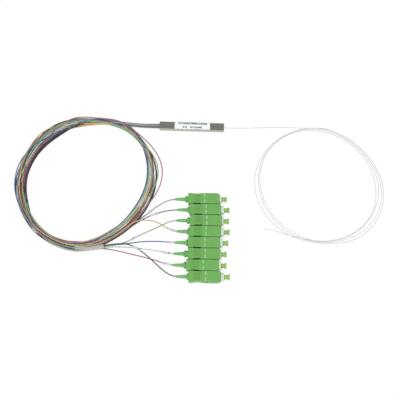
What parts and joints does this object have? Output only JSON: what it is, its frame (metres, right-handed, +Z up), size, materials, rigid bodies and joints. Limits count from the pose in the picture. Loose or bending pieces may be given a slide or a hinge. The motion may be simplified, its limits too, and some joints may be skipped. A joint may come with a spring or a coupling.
{
  "type": "plc fibre splitter",
  "caption": "Fibre splitter in a slim steel tube, with a bare coiled input fibre and coiled coloured output legs that end in push-pull angled plugs under dust caps.",
  "frame": {"origin": "centre of the steel tube's underside", "axes": "+X along the tube towards the input fibre, +Z up"},
  "size_m": [0.3067, 0.1417, 0.0084],
  "materials": {
    "steel": "satin",
    "seal": "matt adhesive",
    "glass_block": "polished",
    "paper": "paper",
    "input_fibre": "clear coating",
    "leg_mixed": "satin",
    "tape": "clear film",
    "sleeve": "satin",
    "boot": "satin",
    "plug_frame": "translucent",
    "grip": "satin",
    "ferrule": "polished ceramic",
    "dust_cap": "translucent",
    "leg_slate": "satin",
    "leg_brown": "satin",
    "leg_green": "satin",
    "leg_orange": "satin",
    "leg_blue": "satin",
    "leg_white": "satin",
    "leg_red": "satin",
    "leg_black": "satin"
  },
  "bodies": {
    "splitter": {"steel_tube": "steel", "end_seals": "seal", "splitter_chip": "glass_block", "fibre_arrays": "glass_block", "label": "paper", "input_runs": "input_fibre", "input_coil": "input_fibre", "output_leads": "leg_mixed", "output_coil": "leg_mixed", "coil_tape": "tape", "number_sleeves": "sleeve", "leg_tail_1": "leg_slate", "boot_1": "boot", "plug_frame_1": "plug_frame", "leg_tail_2": "leg_brown", "boot_2": "boot", "plug_frame_2": "plug_frame", "leg_tail_3": "leg_green", "boot_3": "boot", "plug_frame_3": "plug_frame", "leg_tail_4": "leg_orange", "boot_4": "boot", "plug_frame_4": "plug_frame", "leg_tail_5": "leg_blue", "boot_5": "boot", "plug_frame_5": "plug_frame", "leg_tail_6": "leg_white", "boot_6": "boot", "plug_frame_6": "plug_frame", "leg_tail_7": "leg_red", "boot_7": "boot", "plug_frame_7": "plug_frame", "leg_tail_8": "leg_black", "boot_8": "boot", "plug_frame_8": "plug_frame"},
    "grip_1": {"grip_1": "grip"},
    "ferrule_1": {"ferrule_1": "ferrule"},
    "dust_cap_1": {"dust_cap_1": "dust_cap"},
    "grip_2": {"grip_2": "grip"},
    "ferrule_2": {"ferrule_2": "ferrule"},
    "dust_cap_2": {"dust_cap_2": "dust_cap"},
    "grip_3": {"grip_3": "grip"},
    "ferrule_3": {"ferrule_3": "ferrule"},
    "dust_cap_3": {"dust_cap_3": "dust_cap"},
    "grip_4": {"grip_4": "grip"},
    "ferrule_4": {"ferrule_4": "ferrule"},
    "dust_cap_4": {"dust_cap_4": "dust_cap"},
    "grip_5": {"grip_5": "grip"},
    "ferrule_5": {"ferrule_5": "ferrule"},
    "dust_cap_5": {"dust_cap_5": "dust_cap"},
    "grip_6": {"grip_6": "grip"},
    "ferrule_6": {"ferrule_6": "ferrule"},
    "dust_cap_6": {"dust_cap_6": "dust_cap"},
    "grip_7": {"grip_7": "grip"},
    "ferrule_7": {"ferrule_7": "ferrule"},
    "dust_cap_7": {"dust_cap_7": "dust_cap"},
    "grip_8": {"grip_8": "grip"},
    "ferrule_8": {"ferrule_8": "ferrule"},
    "dust_cap_8": {"dust_cap_8": "dust_cap"}
  },
  "joints": [
    {"name": "grip_slide_1", "type": "slide", "parent": "splitter", "child": "grip_1", "axis": [0.9997, 0.0262, 0], "range_m": [-0.001, 0.001]},
    {"name": "ferrule_push_1", "type": "slide", "parent": "splitter", "child": "ferrule_1", "axis": [0.9997, 0.0262, 0], "range_m": [-0.0012, 0], "stiffness_N_per_m": 1500},
    {"name": "cap_pull_1", "type": "slide", "parent": "ferrule_1", "child": "dust_cap_1", "axis": [0.9997, 0.0262, 0], "range_m": [0, 0.012]},
    {"name": "grip_slide_2", "type": "slide", "parent": "splitter", "child": "grip_2", "axis": [0.9998, 0.0192, 0], "range_m": [0, 0.002]},
    {"name": "ferrule_push_2", "type": "slide", "parent": "splitter", "child": "ferrule_2", "axis": [0.9998, 0.0192, 0], "range_m": [-0.0012, 0], "stiffness_N_per_m": 1500},
    {"name": "cap_pull_2", "type": "slide", "parent": "ferrule_2", "child": "dust_cap_2", "axis": [0.9998, 0.0192, 0], "range_m": [0, 0.012]},
    {"name": "grip_slide_3", "type": "slide", "parent": "splitter", "child": "grip_3", "axis": [0.9999, 0.0105, 0], "range_m": [-0.0012, 0.0008]},
    {"name": "ferrule_push_3", "type": "slide", "parent": "splitter", "child": "ferrule_3", "axis": [0.9999, 0.0105, 0], "range_m": [-0.0012, 0], "stiffness_N_per_m": 1500},
    {"name": "cap_pull_3", "type": "slide", "parent": "ferrule_3", "child": "dust_cap_3", "axis": [0.9999, 0.0105, 0], "range_m": [0, 0.012]},
    {"name": "grip_slide_4", "type": "slide", "parent": "splitter", "child": "grip_4", "axis": [0.9999, 0.0105, 0], "range_m": [0, 0.002]},
    {"name": "ferrule_push_4", "type": "slide", "parent": "splitter", "child": "ferrule_4", "axis": [0.9999, 0.0105, 0], "range_m": [-0.0012, 0], "stiffness_N_per_m": 1500},
    {"name": "cap_pull_4", "type": "slide", "parent": "ferrule_4", "child": "dust_cap_4", "axis": [0.9999, 0.0105, 0], "range_m": [0, 0.012]},
    {"name": "grip_slide_5", "type": "slide", "parent": "splitter", "child": "grip_5", "axis": [0.9999, 0.014, 0], "range_m": [-0.0004, 0.0016]},
    {"name": "ferrule_push_5", "type": "slide", "parent": "splitter", "child": "ferrule_5", "axis": [0.9999, 0.014, 0], "range_m": [-0.0012, 0], "stiffness_N_per_m": 1500},
    {"name": "cap_pull_5", "type": "slide", "parent": "ferrule_5", "child": "dust_cap_5", "axis": [0.9999, 0.014, 0], "range_m": [0, 0.012]},
    {"name": "grip_slide_6", "type": "slide", "parent": "splitter", "child": "grip_6", "axis": [0.9999, 0.0122, 0], "range_m": [-0.002, 0]},
    {"name": "ferrule_push_6", "type": "slide", "parent": "splitter", "child": "ferrule_6", "axis": [0.9999, 0.0122, 0], "range_m": [-0.0012, 0], "stiffness_N_per_m": 1500},
    {"name": "cap_pull_6", "type": "slide", "parent": "ferrule_6", "child": "dust_cap_6", "axis": [0.9999, 0.0122, 0], "range_m": [0, 0.012]},
    {"name": "grip_slide_7", "type": "slide", "parent": "splitter", "child": "grip_7", "axis": [0.9999, 0.014, 0], "range_m": [-0.0008, 0.0012]},
    {"name": "ferrule_push_7", "type": "slide", "parent": "splitter", "child": "ferrule_7", "axis": [0.9999, 0.014, 0], "range_m": [-0.0012, 0], "stiffness_N_per_m": 1500},
    {"name": "cap_pull_7", "type": "slide", "parent": "ferrule_7", "child": "dust_cap_7", "axis": [0.9999, 0.014, 0], "range_m": [0, 0.012]},
    {"name": "grip_slide_8", "type": "slide", "parent": "splitter", "child": "grip_8", "axis": [0.9998, 0.0175, 0], "range_m": [0, 0.002]},
    {"name": "ferrule_push_8", "type": "slide", "parent": "splitter", "child": "ferrule_8", "axis": [0.9998, 0.0175, 0], "range_m": [-0.0012, 0], "stiffness_N_per_m": 1500},
    {"name": "cap_pull_8", "type": "slide", "parent": "ferrule_8", "child": "dust_cap_8", "axis": [0.9998, 0.0175, 0], "range_m": [0, 0.012]}
  ]
}
